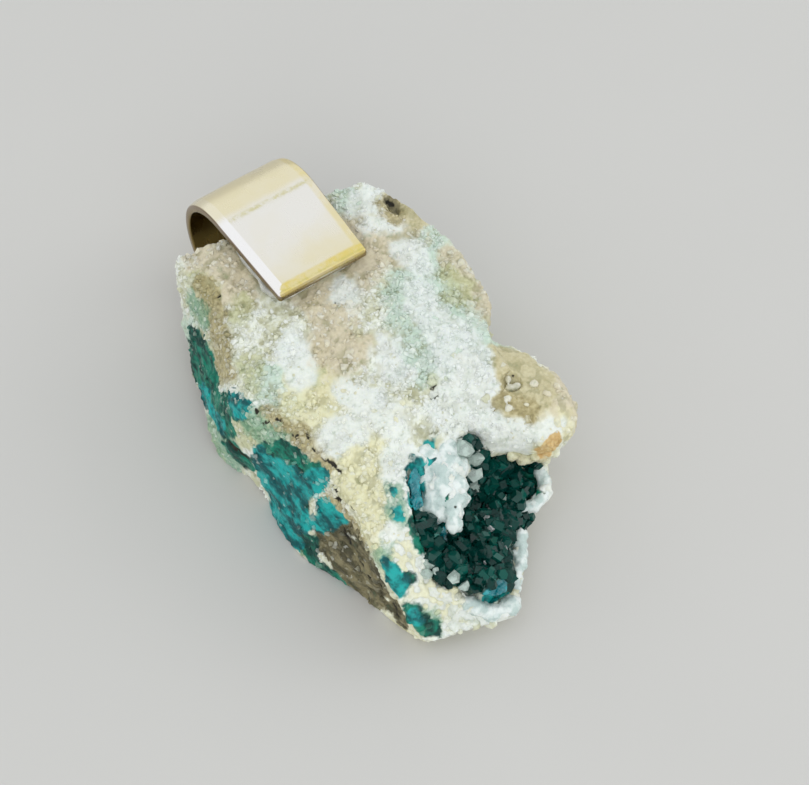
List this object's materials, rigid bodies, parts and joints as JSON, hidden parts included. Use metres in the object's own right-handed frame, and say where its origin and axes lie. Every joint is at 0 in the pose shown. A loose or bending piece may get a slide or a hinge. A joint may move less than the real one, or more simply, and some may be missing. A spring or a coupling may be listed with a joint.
{
  "type": "mineral specimen pendant",
  "caption": "Raw stone pendant: pale broken quartz rock with a hollow of dark green dioptase crystals, blue-green chrysocolla patches and a flat gold bail bent over one end.",
  "frame": {"origin": "centre of the bounding box's bottom, on the surface the pendant's back lies on", "axes": "+Y along the stone from the crystal end to the bail, +Z out of the front face, +X to the right seen from the front"},
  "size_m": [0.025, 0.0462, 0.0135],
  "materials": {
    "quartz_rock": "granular, sugary quartz with cream, beige and blue-green patches",
    "dioptase": "glassy, dark emerald crystals",
    "gold": "polished pale gold plating",
    "adhesive": "cured clear adhesive, whitish where it was squeezed out"
  },
  "bodies": {
    "root": {"rock": "quartz_rock", "dioptase_crust": "dioptase", "bail": "gold", "glue_front": "adhesive", "glue_back": "adhesive"}
  },
  "joints": []
}
